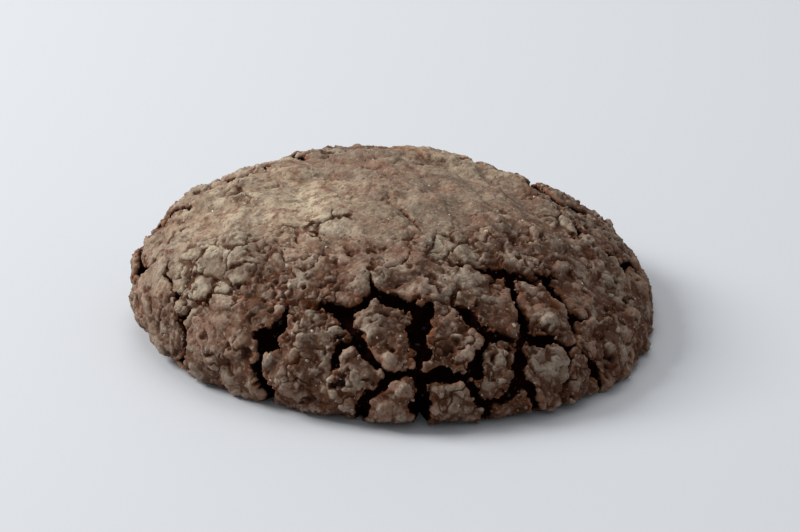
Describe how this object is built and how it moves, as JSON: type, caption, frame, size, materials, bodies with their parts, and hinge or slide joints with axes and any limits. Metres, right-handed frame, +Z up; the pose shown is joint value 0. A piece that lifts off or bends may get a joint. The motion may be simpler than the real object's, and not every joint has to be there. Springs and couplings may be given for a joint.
{
  "type": "chocolate crinkle cookie",
  "caption": "Low domed round cookie with a flat foot, its dark cocoa crust split into crumbly plates by deep cracks on the flank and fine ones on the crown.",
  "frame": {"origin": "middle of the flat foot, at the height of the table", "axes": "+Z up through the crown, -Y the side that the picture shows in front, +X to its right"},
  "size_m": [0.0596, 0.0612, 0.0179],
  "materials": {
    "cocoa_crust": "baked cocoa crumb, matt and grainy, grey-brown plates with a dusting of sugar, rust-brown lips and near-black cracks"
  },
  "bodies": {
    "root": {"cookie": "cocoa_crust"}
  },
  "joints": []
}
